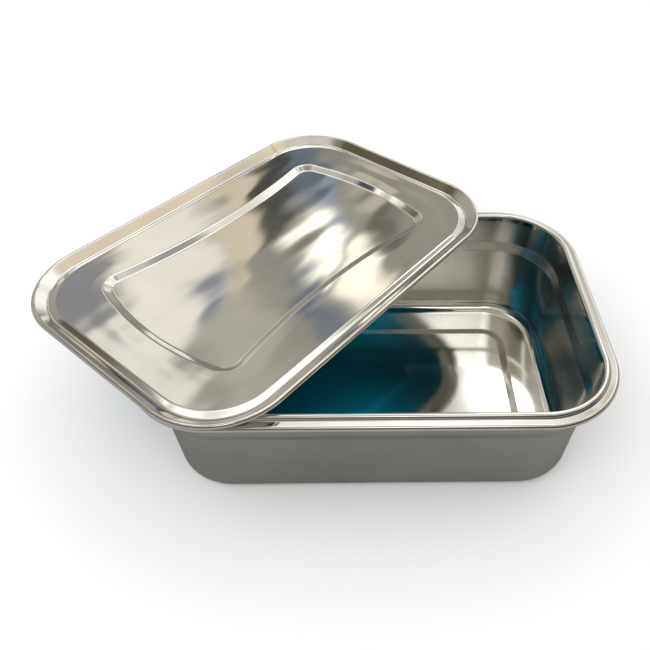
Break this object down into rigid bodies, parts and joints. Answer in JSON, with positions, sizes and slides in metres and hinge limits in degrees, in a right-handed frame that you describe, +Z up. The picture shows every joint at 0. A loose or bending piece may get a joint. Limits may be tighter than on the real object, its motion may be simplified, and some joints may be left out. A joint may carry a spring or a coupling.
{
  "type": "instrument tray",
  "caption": "Deep rectangular stainless steel instrument tray with a rolled rim, and a lift-off lid lying upside down and askew on it.",
  "frame": {"origin": "middle of the tray's bottom, on the plane it stands on", "axes": "+X along the tray's long side, +Y across it towards the side under the lid's far end, +Z up"},
  "size_m": [0.389, 0.3304, 0.0986],
  "materials": {
    "tray_steel": "satin outside, semi-bright inside, polished on the rim",
    "lid_steel": "bright pressed sheet"
  },
  "bodies": {
    "tray": {"tray": "tray_steel"},
    "lid": {"lid": "lid_steel"}
  },
  "joints": [
    {"name": "lid_lift", "type": "slide", "parent": "tray", "child": "lid", "axis": [0, 0, 1], "range_m": [0, 0.2]}
  ]
}
